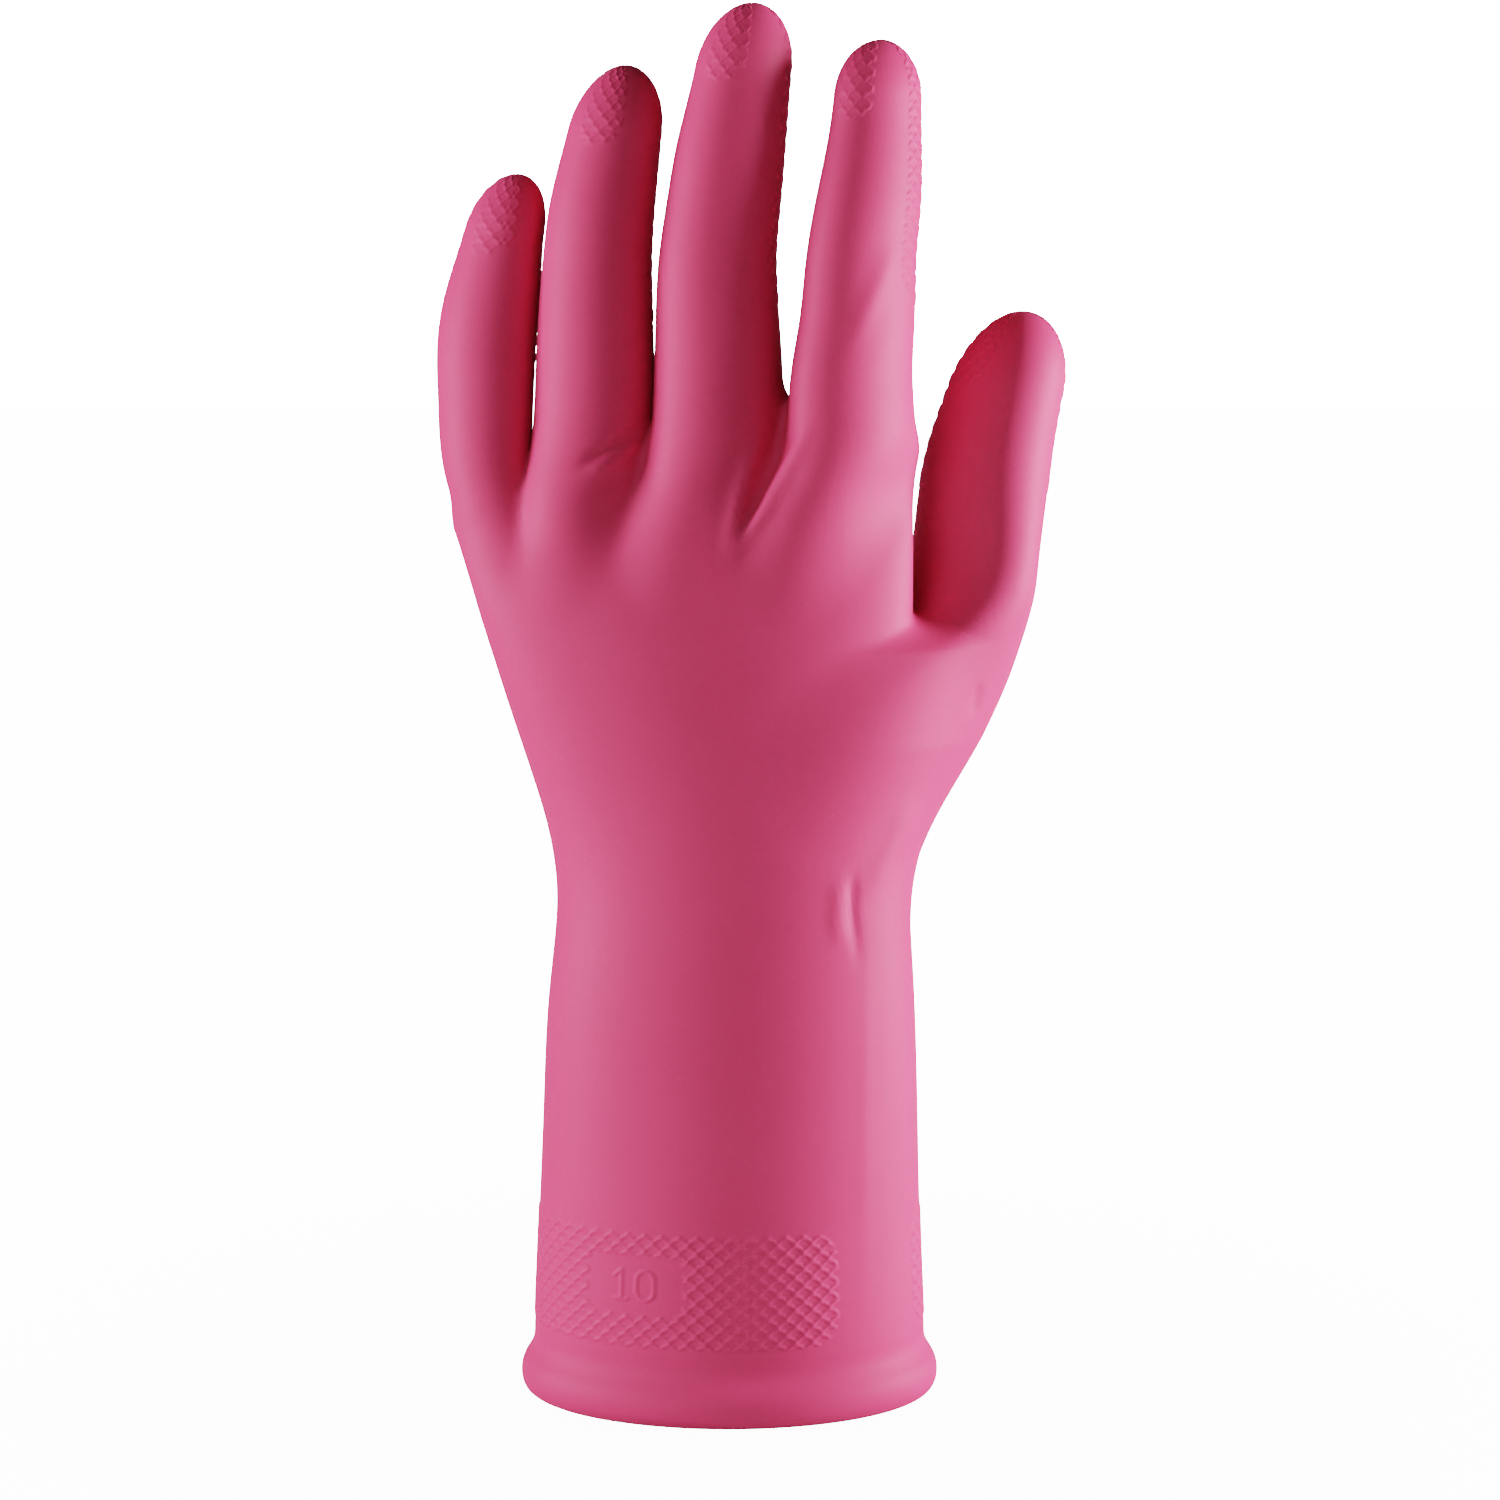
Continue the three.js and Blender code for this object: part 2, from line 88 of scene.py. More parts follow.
def curve(heights, values):
    """A natural cubic spline through (height, value) points, kept as a fine table:
    between two points the second derivative runs straight, and it is zero at both ends."""
    x, y = np.asarray(heights, float), np.asarray(values, float)
    gap, count = np.diff(x), len(x)
    system, right = np.zeros((count, count)), np.zeros(count)
    system[0, 0] = system[-1, -1] = 1
    i = np.arange(1, count - 1)
    system[i, i - 1], system[i, i + 1] = gap[:-1], gap[1:]
    system[i, i] = 2 * (gap[:-1] + gap[1:])
    right[i] = 6 * ((y[2:] - y[1:-1]) / gap[1:] - (y[1:-1] - y[:-2]) / gap[:-1])
    bend = np.linalg.solve(system, right)
    t = np.arange(x[0], x[-1] + 0.25, 0.25)
    k = np.clip(np.searchsorted(x, t) - 1, 0, count - 2)
    a, b = x[k + 1] - t, t - x[k]
    value = (bend[k] * a**3 + bend[k + 1] * b**3) / (6 * gap[k])
    value += (y[k] / gap[k] - bend[k] * gap[k] / 6) * a
    value += (y[k + 1] / gap[k] - bend[k + 1] * gap[k] / 6) * b
    return t, value


def smooth_step(value, low, high):
    t = np.clip((value - low) / (high - low), 0, 1)
    return t * t * (3 - 2 * t)


def soft_min(a, b, reach):
    """The smaller of two distances, with a fillet where they differ by less than reach."""
    h = np.clip(0.5 + 0.5 * (b - a) / reach, 0, 1)
    return b + (a - b) * h - reach * h * (1 - h)


# The height of a fingertip's dome, in half widths of the finger 12 mm below its tip.
DOME_RISE = 1.35


class Form:
    """A hollow limb of the glove. Each level section is an oval of power n about a centre:
    |(x - cx) / w|^n + |(y - cy) / d|^n = 1, and cx, cy, w, d are splines of the height.
    lean slides the section sideways with depth, and w is drawn in to keep the outline.
    A closed end follows a half ellipse."""

    def __init__(self, heights, x, y, width, depth, power=2.0, lean=0.0, tip=None):
        lean = lean + 0 * width
        width = width / np.sqrt(1 + (lean * depth / width) ** 2)
        self.tables = [curve(heights, v) for v in (x, y, width, depth, lean)]
        self.power, self.tip = power, tip
        self.dome = None if tip is None else tip - DOME_RISE * self.at(np.array(tip - 12.0))[2]

    def at(self, z):
        return [np.interp(z, *table) for table in self.tables]

    def distance(self, x, y, z, deep=None):
        """Signed distance, to first order: (g - 1) / |grad g|, with g the oval's own norm.
        deep is the height at which the depth is read, where it isn't z."""
        cx, cy, w, d, lean = self.at(z)
        if deep is not None:
            cy, d = self.at(deep)[1:4:2]
        n = self.power
        u = np.abs((x - cx + lean * (y - cy)) / w) + 1e-6
        v = np.abs((y - cy) / d) + 1e-6
        if n == 2.0:
            g = np.sqrt(u * u + v * v)
            return (g - 1) * g / np.sqrt((u / w) ** 2 + (v / d) ** 2)
        un, vn = u ** (n - 1), v ** (n - 1)
        g = (un * u + vn * v) ** (1 / n)
        return (g - 1) * g ** (n - 1) / np.sqrt((un / w) ** 2 + (vn / d) ** 2)

    def skin(self, angle, z, close=1.0, inset=0.0):
        """The point of the section at this height in this direction: the centre plus
        (w cos a, d sin a) / (|cos a|^n + |sin a|^n)^(1/n), drawn in by close at a tip."""
        cx, cy, w, d, lean = self.at(z)
        c, s, n = np.cos(angle), np.sin(angle), self.power
        reach = close / (np.abs(c) ** n + np.abs(s) ** n) ** (1 / n)
        down = (d - inset) * s * reach
        across = (w - inset) * c * reach - lean * down
        return np.stack(np.broadcast_arrays(cx + across, cy + down, z), -1)


# The cuff and the palm, from the bead up: the side edges, then the back and the palm side.
HAND_LEVELS = (0, 12, 33, 65, 90, 104, 112, 119, 128, 137, 146, 155, 164, 175, 185, 192, 200,
               207, 215, 225, 240)
LEFT_EDGE = np.array((
    48.4, 48.1, 47.2, 45.7, 44.3, 42.8, 42.4, 42.9, 44.6, 47.2, 50.1, 53.0,
    55.8, 59.0, 61.4, 62.9, 64.1, 65.0, 65.6, 66.0, 66.2))
RIGHT_EDGE = np.array((
    39.2, 38.9, 38.0, 37.1, 36.2, 35.3, 34.9, 34.8, 34.9, 35.0, 35.2, 35.3,
    35.4, 35.4, 35.4, 35.4, 35.3, 35.2, 35.1, 35.0, 35.0))
BACK_SIDE = np.array((
    30, 30, 29.5, 28, 26.5, 25, 24.2, 23.5, 22.6, 21.8, 21.1, 20.3, 19.4,
    18, 16.2, 14.2, 10.6, 6.2, 0.6, -3, -4))
PALM_SIDE = np.array((
    30, 30, 29.5, 28, 26.5, 25, 24.2, 23.5, 22.6, 21.8, 21.1, 20.3, 19.6,
    18.5, 17, 15.5, 13.6, 12, 10.6, 9.4, 9))
HAND = Form(HAND_LEVELS, (RIGHT_EDGE - LEFT_EDGE) / 2, (PALM_SIDE - BACK_SIDE) / 2,
            (LEFT_EDGE + RIGHT_EDGE) / 2, (BACK_SIDE + PALM_SIDE) / 2)

# Each finger: height, centre across, centre in depth (away from the back), half width.
FINGER_LEVELS = {
    "index": ((165, 12, 0, 8), (185, 13, -3.6, 11), (197, 16.5, -2.4, 12.8),
              (211, 21.4, -1, 13.8), (224, 21.9, 0, 13.3), (237, 23.1, 1, 12.5),
              (250, 23.9, 2.2, 11.9), (262, 25.4, 3.8, 11.4), (279, 27.1, 7, 9.8),
              (297, 28, 10.6, 9.2)),
    "middle": ((165, -15, 0, 8), (185, -14, -4.2, 11), (197, -11.4, -1.6, 12.6),
               (213, -7.4, 1.4, 14), (226, -6.8, 3, 13.9), (237, -7, 3.6, 13.4),
               (250, -7, 4.6, 12.7), (262, -5.7, 6, 12.3), (275, -4, 7.8, 11.7),
               (288, -1.9, 10, 10.6), (305, 0.4, 13, 10)),
    "ring": ((165, -38, 0, 7), (185, -38.5, -1.6, 9.6), (197, -37.6, 1, 11.8),
             (210, -34.8, 4.4, 12.8), (224, -33.7, 6.6, 12.98), (237, -33.5, 7.4, 12.45),
             (250, -33.1, 8.4, 11.8), (262, -32, 9.8, 11.4), (275, -29.8, 11.6, 10.4),
             (291, -27.2, 14.4, 9.2)),
    "little": ((165, -46, 3, 5), (180, -50, 3.4, 7.4), (192, -53.8, 4.6, 9), (205, -57.1, 7, 9.9),
               (219, -57.7, 9.6, 10.5), (232, -57.5, 12, 10.9), (241, -56.5, 13.4, 10.6),
               (254, -54.2, 15, 8.95), (268, -51.2, 18, 8.35)),
    "thumb": ((104, 18, 4, 9), (116, 21, 4, 12.2), (128, 25.8, 5.5, 14.8), (141, 33.2, 7, 16),
              (155, 40.5, 8.4, 16), (164, 44.2, 10, 15.4), (175, 48, 13, 14.6),
              (184, 49.6, 15, 14.3), (197, 51.2, 16.4, 14.3), (210, 53.3, 17.6, 13.8),
              (223, 56.7, 18.8, 12.8), (239, 60.2, 20.4, 11.9)),
}
TIPS = {"index": 296.6, "middle": 304.6, "ring": 291.4, "little": 268.2, "thumb": 238.4}
FINGERS = ("index", "middle", "ring", "little")

# How far each digit is turned: its back faces left where the lean is positive. The thumb
# has one value for each of its levels.
LEANS = {"index": -0.38, "middle": -0.12, "ring": 0.0, "little": 0.1}
THUMB_LEAN = (-0.2, -0.35, -0.45, -0.5, -0.5, -0.3, 0.2, 0.38, 0.3, 0.2, 0.12, 0.05)
THUMB_POWER = 1.75


def finger_form(name):
    z, x, y, w = np.array(FINGER_LEVELS[name], float).T
    if name == "thumb":
        return Form(z, x, y, w, 0.9 * w, THUMB_POWER, np.array(THUMB_LEAN), TIPS[name])
    return Form(z, x, y, w, 0.95 * w, 2.0, LEANS[name], TIPS[name])


FORM = {name: finger_form(name) for name in FINGER_LEVELS}

# The palm's top edge between the fingers, and the seam above it where the fingers begin.
CROWN_X = (-68, -48, -21.5, 8, 20, 36)
CROWN_Z = (192, 200.5, 209.5, 218, 217, 210)
SEAM_RISE = 8.0

# The fillet between the palm and the thumb, by height, then those at the palm's top edge
# and at the fingers' roots, and the height where the fingers start inside the palm.
THUMB_FILLET_Z = (120, 145, 166, 174, 178)
THUMB_FILLET = (12.0, 22.0, 20.0, 6.0, 0.5)
CROWN_FILLET, ROOT_FILLET = 5.0, 7.0
FINGERS_FROM = 165


def crown(x):
    return np.interp(x, CROWN_X, CROWN_Z)


def glove_distance(x, y, z):
    """Distance to the palm's skin: palm, fingers and thumb run together with fillets, and
    the palm stops at its crown. The fillets die out before the fingers' seam."""
    above = (z - crown(x)) * 0.93
    deep = z + (CROWN_Z[3] - crown(x)) * smooth_step(z, 165, 195)
    palm = -soft_min(-HAND.distance(x, y, z, deep), -above, CROWN_FILLET)
    fillet = np.interp(z, THUMB_FILLET_Z, THUMB_FILLET)
    whole = soft_min(palm, FORM["thumb"].distance(x, y, z), fillet)
    if np.max(z) < FINGERS_FROM - 3:
        return whole
    between = 0.05 + 2.6 * np.clip((4 - above) / 4, 0, 1)
    tubes = None
    for name in FINGERS:
        tube = FORM[name].distance(x, y, z)
        tubes = tube if tubes is None else soft_min(tubes, tube, between)
    tubes = tubes + 4 * np.maximum(FINGERS_FROM - z, 0)
    return soft_min(whole, tubes, ROOT_FILLET)


def gradient(points, distance=glove_distance):
    """The distance's slope along x, y and z, by central differences of 0.05 mm."""
    slope = np.empty_like(points)
    for axis in range(3):
        step = np.zeros(3)
        step[axis] = 0.05
        ahead, behind = points + step, points - step
        slope[:, axis] = (distance(*ahead.T) - distance(*behind.T)) / 0.1
    return slope


def settled(points, inset, rounds=2):
    """Points moved onto the skin by Newton steps: p - f grad f / |grad f|^2."""
    for _ in range(rounds):
        slope = gradient(points)
        off = glove_distance(*points.T) + inset
        move = off[:, None] * slope / np.maximum((slope**2).sum(1), 0.2)[:, None]
        points = points - np.clip(move, -1, 1)
    return points


# ---------------------------------------------------------------- folds and grip

# Soft folds on the back of the glove: points (x, z), height and half width in mm. Two
# ridges and a valley between index and middle, a swell and a crease below the ring finger,
# a faint line across the knuckles, a pucker at the wrist, the mould's line down the cuff,
# the thumb's tendon and its crease, and a ridge on the index finger.
FOLDS = (
    (((3.4, 214), (-0.4, 207), (-2.6, 199), (-4.6, 190), (-5.4, 184)), 1.2, 2.0),
    (((11.5, 213), (7.6, 205), (3.2, 197), (-1, 191), (-5, 185)), 1.2, 1.7),
    (((9.4, 213), (3.8, 203), (0.2, 196), (-3, 189)), -0.9, 1.5),
    (((-24.8, 207), (-27, 200), (-31.5, 195)), 0.35, 2.6),
    (((-36, 206.5), (-29, 210.6), (-21, 216.5)), -0.8, 1.1),
    (((-35, 203.8), (-28, 207.8), (-20.5, 213.6)), 0.7, 1.4),
    (((-40, 206), (-10, 205.5), (20, 204)), 0.05, 0.45),
    (((22.2, 119), (22.0, 111), (23.6, 97)), -0.45, 1.2),
    (((19.0, 118), (18.6, 110), (19.6, 102)), 0.35, 1.8),
    (((25, 102), (25, 18)), 0.12, 1.8),
    (((36, 134), (30, 122), (25, 112)), 0.5, 2.6),
    (((50, 158), (48.6, 150)), -0.35, 1.2),
    (((31.5, 253), (26, 241), (20, 228)), 0.35, 2.4),
)


def path_distance(x, z, path):
    """Distance in the x-z plane to a line of straight runs, and the share of the line
    passed at its nearest point."""
    nearest, share = np.full(np.shape(x), 1e9), np.zeros(np.shape(x))
    runs = len(path) - 1
    for k in range(runs):
        (ax, az), (bx, bz) = path[k], path[k + 1]
        dx, dz = bx - ax, bz - az
        t = np.clip(((x - ax) * dx + (z - az) * dz) / (dx * dx + dz * dz), 0, 1)
        away = np.hypot(x - ax - t * dx, z - az - t * dz)
        share = np.where(away < nearest, (k + t) / runs, share)
        nearest = np.minimum(nearest, away)
    return nearest, share


def folds(points, normals):
    """How far the skin stands out along its normal: each fold is a bell curve of the
    distance to its line, faded towards the line's ends and on the palm side."""
    x, z = points[..., 0], points[..., 2]
    back = smooth_step(-normals[..., 1], -0.15, 0.25)
    rise = np.zeros(x.shape)
    for path, height, width in FOLDS:
        away, share = path_distance(x, z, path)
        fade = smooth_step(share, -0.1, 0.25) * smooth_step(1 - share, -0.02, 0.45)
        rise += height * fade * np.exp(-((away / width) ** 2))
    return rise * back


def scales(across, up):
    """Raised edges of the grip: rows of half-ellipse arches, each row shifted by half a
    scale, as a bell curve of the distance to the nearest arch."""
    rise = np.zeros(np.shape(across))
    row = np.floor(up / SCALE_RISE)
    for step in (0, 1):
        j = row - step
        v = (up - j * SCALE_RISE) / SCALE_RISE
        u = across / SCALE_WIDTH + 0.5 * (j % 2)
        u = (u - np.round(u)) * 2
        e = np.sqrt(u * u + v * v) + 1e-6
        slope = np.sqrt((2 * u / SCALE_WIDTH) ** 2 + (v / SCALE_RISE) ** 2) / e
        away = (e - 1) / np.maximum(slope, 0.2)
        rise = np.maximum(rise, np.exp(-((away / EDGE_WIDTH) ** 2)))
    return rise * EDGE_HEIGHT


def rounded_box(x, y, centre, half, corner):
    """Signed distance to a rectangle with rounded corners, negative inside."""
    dx = np.abs(x - centre[0]) - half[0] + corner
    dy = np.abs(y - centre[1]) - half[1] + corner
    outside = np.hypot(np.maximum(dx, 0), np.maximum(dy, 0))
    return outside + np.minimum(np.maximum(dx, dy), 0) - corner


# ---------------------------------------------------------------- making meshes

def mesh_piece(name, points, loops, sizes, normals):
    """A mesh from points in mm and faces given as one run of corners and their counts."""
    mesh = bpy.data.meshes.new(name)
    mesh.vertices.add(len(points))
    mesh.vertices.foreach_set("co", (points * MM).astype(np.float32).ravel())
    mesh.loops.add(len(loops))
    mesh.loops.foreach_set("vertex_index", loops.astype(np.int32))
    mesh.polygons.add(len(sizes))
    starts = np.concatenate(([0], np.cumsum(sizes)[:-1])).astype(np.int32)
    mesh.polygons.foreach_set("loop_start", starts)
    mesh.update(calc_edges=True)
    mesh.polygons.foreach_set("use_smooth", np.ones(len(sizes), bool))
    mesh.normals_split_custom_set_from_vertices(normals.astype(np.float32))
    obj = bpy.data.objects.new(name, mesh)
    bpy.context.scene.collection.objects.link(obj)
    return obj


def part_of(points, faces, keep, normals):
    """The kept faces with only the points they use."""
    used = faces[keep]
    index, loops = np.unique(used.ravel(), return_inverse=True)
    return points[index], loops, np.full(len(used), faces.shape[1]), normals[index]


def tube_faces(rows, columns, closed):
    """Quads of a closed ring of columns, row by row, and a fan to one pole point."""
    i = np.arange(rows - 1)[:, None] * columns
    j = np.arange(columns)[None]
    beside = (j + 1) % columns
    quads = np.stack([i + j, i + beside, i + columns + beside, i + columns + j], -1)
    loops, sizes = quads.reshape(-1), np.full((rows - 1) * columns, 4)
    if closed:
        last = (rows - 1) * columns
        fan = np.stack([last + j[0], last + beside[0], np.full(columns, rows * columns)], -1)
        loops = np.concatenate([loops, fan.ravel()])
        sizes = np.concatenate([sizes, np.full(columns, 3)])
    return loops, sizes


def unit(vectors):
    return vectors / np.maximum(np.linalg.norm(vectors, axis=-1, keepdims=True), 1e-9)


def grid_normals(grid):
    """Outward normals of a ring grid: the step round times the step up."""
    around = np.roll(grid, -1, 1) - np.roll(grid, 1, 1)
    return unit(np.cross(around, np.gradient(grid, axis=0)))


# ---------------------------------------------------------------- the palm's skin

# The gaps between the fingers (across, height), where the lattice is drawn together.
GAPS = ((-47.6, 206), (-21.4, 215), (8.0, 223))
GAP_REACH, GAP_PULL = 2.2, 0.72

# The corners of the block of space that holds the palm, in mm.
NET_LOW, NET_HIGH = (-72.0, -34.0), (67.0, 37.0, 236.0)


def lattice_x(a, z):
    """Lattice columns pulled towards each gap: a - c w tanh((a - gap) / w)."""
    x = a
    for gap, height in GAPS:
        pull = GAP_PULL * smooth_step(z, height - 22, height - 8)
        x = x - pull * GAP_REACH * np.tanh((a - gap) / GAP_REACH)
    return x


def skin_net(low, high, step, inset):
    """A quad net over the palm's skin, or over the level that lies inset under it. The
    distance is taken on a lattice; each cell that the skin passes through gets one point,
    the mean of the crossings on its edges, and each lattice edge that crosses the skin gets
    the quad of its four cells."""
    axes = [np.arange(low[k], high[k] + step, step) for k in range(3)]
    a, y, z = axes[0][:, None, None], axes[1][None, :, None], axes[2][None, None, :]
    field = np.empty([len(axis) for axis in axes])
    slab = 24
    for k in range(0, len(axes[2]), slab):
        level = z[..., k:k + slab]
        field[..., k:k + slab] = glove_distance(lattice_x(a, level), y, level) + inset
    cells = np.array(field.shape) - 1
    total, count = np.zeros((*cells, 3)), np.zeros(cells)
    crossings = []
    for axis in range(3):
        near = field[tuple(slice(None, -1) if k == axis else slice(None) for k in range(3))]
        far = field[tuple(slice(1, None) if k == axis else slice(None) for k in range(3))]
        cross = (near < 0) != (far < 0)
        share = np.where(cross, near / np.where(cross, near - far, 1), 0)
        others = [k for k in range(3) if k != axis]
        crossings.append((cross, near < 0))
        for da in (0, 1):
            for db in (0, 1):
                cut = [slice(None)] * 3
                cut[others[0]] = slice(da, cells[others[0]] + da)
                cut[others[1]] = slice(db, cells[others[1]] + db)
                hit = cross[tuple(cut)]
                total[..., axis] += share[tuple(cut)]
                total[..., others[0]] += da * hit
                total[..., others[1]] += db * hit
                count += hit
    used = count > 0
    number = np.full(cells, -1)
    number[used] = np.arange(used.sum())
    where = np.argwhere(used)
    at = where + total[used] / count[used][:, None]
    points = np.array(low) + at * step
    points[:, 0] = lattice_x(points[:, 0], points[:, 2])
    faces = []
    for axis in range(3):
        cross, inside = crossings[axis]
        b, c = (axis + 1) % 3, (axis + 2) % 3
        spot = np.argwhere(cross)
        ok = (spot[:, b] > 0) & (spot[:, c] > 0)
        ok &= (spot[:, b] < cells[b]) & (spot[:, c] < cells[c])
        spot = spot[ok]
        shift = np.eye(3, dtype=int)
        ring = [spot - shift[b] - shift[c], spot - shift[c], spot, spot - shift[b]]
        quad = np.stack([number[tuple(corner.T)] for corner in ring], -1)
        flip = ~inside[tuple(spot.T)]
        quad[flip] = quad[flip][:, ::-1]
        faces.append(quad)
    return points, np.concatenate(faces)


def vertex_normals(points, faces):
    """Area-weighted normals at the points of a quad net."""
    corner = points[faces]
    turn = np.cross(corner[:, 2] - corner[:, 0], corner[:, 3] - corner[:, 1])
    normals = np.zeros_like(points)
    for k in range(faces.shape[1]):
        np.add.at(normals, faces[:, k], turn)
    return unit(normals)


def edge_points(faces, count):
    """True for the points on an edge that only one face has."""
    a, b = faces.ravel(), np.roll(faces, -1, 1).ravel()
    low, high = np.minimum(a, b), np.maximum(a, b)
    _, index, times = np.unique(low * count + high, return_index=True, return_counts=True)
    single = index[times == 1]
    on_edge = np.zeros(count, bool)
    on_edge[low[single]] = on_edge[high[single]] = True
    return on_edge


def by_thumb(points):
    """True where the thumb's own skin is nearer than the hand's or the index finger's."""
    x, y, z = points.T
    rest = np.minimum(HAND.distance(x, y, z), FORM["index"].distance(x, y, z))
    return (x > 30) & (FORM["thumb"].distance(x, y, z) < rest)


def palm_net(step, inset=0.0):
    """The palm's net, trimmed at the cuff, the finger seams and the thumb's seam, its edge
    points brought onto both the seam's plane and the skin."""
    points, faces = skin_net((*NET_LOW, CUFF_TOP - step), NET_HIGH, step, inset)
    points = settled(points, inset)
    normals = vertex_normals(points, faces)
    centre = points[faces].mean(1)
    thumb_side = by_thumb(centre) & (centre[:, 2] > THUMB_SEAM - 3)
    limit = np.where(thumb_side, THUMB_SEAM, crown(centre[:, 0]) + SEAM_RISE)
    faces = faces[centre[:, 2] < limit]
    index, flat = np.unique(faces.ravel(), return_inverse=True)
    points, normals, faces = points[index], normals[index], flat.reshape(-1, 4)
    rim = np.flatnonzero(edge_points(faces, len(points)))
    spot = points[rim]
    thumb_rim = by_thumb(spot) & (np.abs(spot[:, 2] - THUMB_SEAM) < 5)
    for _ in range(6):
        seam = np.where(thumb_rim, THUMB_SEAM, crown(spot[:, 0]) + SEAM_RISE)
        spot[:, 2] = np.where(spot[:, 2] < CUFF_TOP + 6, CUFF_TOP, seam)
        slope = gradient(spot)
        slope[:, 2] = 0
        off = glove_distance(*spot.T) + inset
        move = off[:, None] * slope / np.maximum((slope**2).sum(1), 0.2)[:, None]
        spot = spot - np.clip(move, -0.8, 0.8)
    points[rim] = spot
    return points, faces, normals


# ---------------------------------------------------------------- finger and thumb skins

def digit_cuts():
    """Heights of the seams between a digit's skins, set between its joints."""
    cuts = {}
    for name in FINGERS:
        root, middle, tip = (JOINT[f"{name}_{part}_bend"][2] for part in ("root", "middle", "tip"))
        cuts[name] = [root + 0.42 * (middle - root), middle + 0.55 * (tip - middle)]
    low, high = JOINT["thumb_spread"][2], JOINT["thumb_tip_bend"][2]
    cuts["thumb"] = [0.5 * (low + high)]
    return cuts


CUTS = digit_cuts()


def seam_height(form, angle, rounds=12):
    """The height where the skin in this direction meets the slanted seam over the crown."""
    z = np.full(angle.shape, 215.0)
    for _ in range(rounds):
        z = crown(form.skin(angle, z)[..., 0]) + SEAM_RISE
    return z


# Each finger's skin starts a little below its seam, drawn in just under the palm's skin.
TUCK, TUCK_IN = (3.6, 2.4, 1.2), 0.99


def digit_grid(name, columns, step, fine, inset=0.0):
    """Ring grid of a finger or the thumb: rows climb from under the seam to the level top of the
    root piece, on to the middle joint's piece, and over the closed tip, where the section
    shrinks as the cosine while the height rises as the sine."""
    form, cuts = FORM[name], CUTS[name]
    angle = np.linspace(0, 2 * np.pi, columns, endpoint=False)
    foot = np.full(columns, THUMB_SEAM) if name == "thumb" else seam_height(form, angle)
    levels, closes, marks = [foot - drop for drop in TUCK], [TUCK_IN] * len(TUCK), [0]
    start = foot
    for top in cuts + [form.dome]:
        size = step if top <= GRIP_FOOT[name] else fine
        share = np.linspace(0, 1, max(3, int(round((top - start.mean()) / size)) + 1))[:-1]
        levels += [start + (top - start) * s for s in share]
        closes += [1.0] * len(share)
        marks.append(len(levels))
        start = np.full(columns, top)
    height = form.tip - inset - form.dome
    turns = np.linspace(0, np.pi / 2, int(round(1.35 * height / fine)) + 1)[:-1]
    levels += [np.full(columns, form.dome + height * math.sin(t)) for t in turns]
    closes += [math.cos(t) for t in turns]
    z, close = np.array(levels), np.array(closes)[:, None]
    grid = form.skin(angle[None], z, close, inset)
    pole = form.skin(np.zeros(1), np.full(1, form.tip - inset), 0.0)
    return grid, pole, angle, z, marks


# On a digit the grip reaches this angle to each side of the palm, and runs over the tip. The
# patch on the back: drop of its centre below the crest, half size, and share of the height.
PALM_TURN, PAST_TIP = 1.72, 30
PATCH_DROP, PATCH_HALF, PATCH_SHARE = 11.5, (5.8, 10.5), 0.7


def grip_on_digit(name, grid, angle, z):
    """Grip height on a digit: scales over the palm side, and a patch over the tip's back,
    flat where the next finger touches."""
    form = FORM[name]
    radius = form.at(np.full(1, CUTS[name][-1]))[2][0]
    steps = np.linalg.norm(np.diff(grid, axis=0, prepend=grid[:1]), axis=-1).mean(1)
    up = (np.cumsum(steps) + z[0].mean())[:, None] + 0 * z
    turn = (angle - np.pi / 2 + np.pi) % (2 * np.pi) - np.pi
    across = turn[None] * radius + 0 * up
    foot, crest = GRIP_FOOT[name] + 2.0, up[-1, 0]
    top = crest + PAST_TIP
    palm = rounded_box(across, up, (-3.0, (foot + top) / 2),
                       (PALM_TURN * radius, (top - foot) / 2), 8)
    turned = 1.0 if name == "thumb" else 0.3
    back = ((angle + np.pi / 2 + turned + np.pi) % (2 * np.pi) - np.pi)[None] * radius
    patch = rounded_box(back + 0 * up, up, (0.0, crest - PATCH_DROP), PATCH_HALF, 4.5)
    inside = smooth_step(-palm, -0.2, 0.5) + PATCH_SHARE * smooth_step(-patch, -0.2, 0.5)
    room = np.min([FORM[other].distance(*grid.reshape(-1, 3).T)
                   for other in FINGERS if other != name], 0).reshape(up.shape)
    return scales(across, up) * np.minimum(inside, 1) * smooth_step(room, 0.8, 1.8)


# ---------------------------------------------------------------- cuff

def cuff_grid(columns, bottom, step, fine, inset=0.0):
    """Ring grid of the cuff's wall, closer rows over the grip band."""
    low, high = GRIP_BAND
    runs = ((bottom, low, step), (low, high, fine), (high, CUFF_TOP, step))
    z = np.concatenate([np.linspace(a, b, max(2, int(round((b - a) / s)) + 1))[:-1]
                        for a, b, s in runs] + [[CUFF_TOP]])
    angle = np.linspace(0, 2 * np.pi, columns, endpoint=False)
    return HAND.skin(angle[None], z[:, None] + 0 * angle[None], 1.0, inset)


